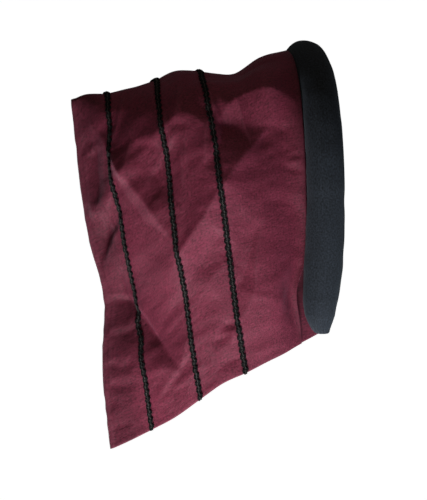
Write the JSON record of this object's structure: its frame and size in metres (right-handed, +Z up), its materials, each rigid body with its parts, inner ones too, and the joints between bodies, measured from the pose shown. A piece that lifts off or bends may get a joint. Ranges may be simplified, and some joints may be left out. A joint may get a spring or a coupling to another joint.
{
  "type": "medieval bonnet",
  "caption": "Hood-shaped cloth bonnet with a padded roll round the face, a facing inside it, flat braids over the crown and a pointed nape closed by a centre-back seam.",
  "frame": {"origin": "where the crown of the wearer's head touches the inside of the hood", "axes": "+Z up the wearer's body, -Y the way the wearer faces, +X to the wearer's left"},
  "size_m": [0.203, 0.2425, 0.3876],
  "materials": {
    "burgundy_cloth": "satin",
    "roll_cloth": "matte",
    "black_braid": "satin"
  },
  "bodies": {
    "root": {"hood": "burgundy_cloth", "facing": "burgundy_cloth", "padded_roll": "roll_cloth", "braid_front": "black_braid", "braid_middle": "black_braid", "braid_back": "black_braid"}
  },
  "joints": []
}
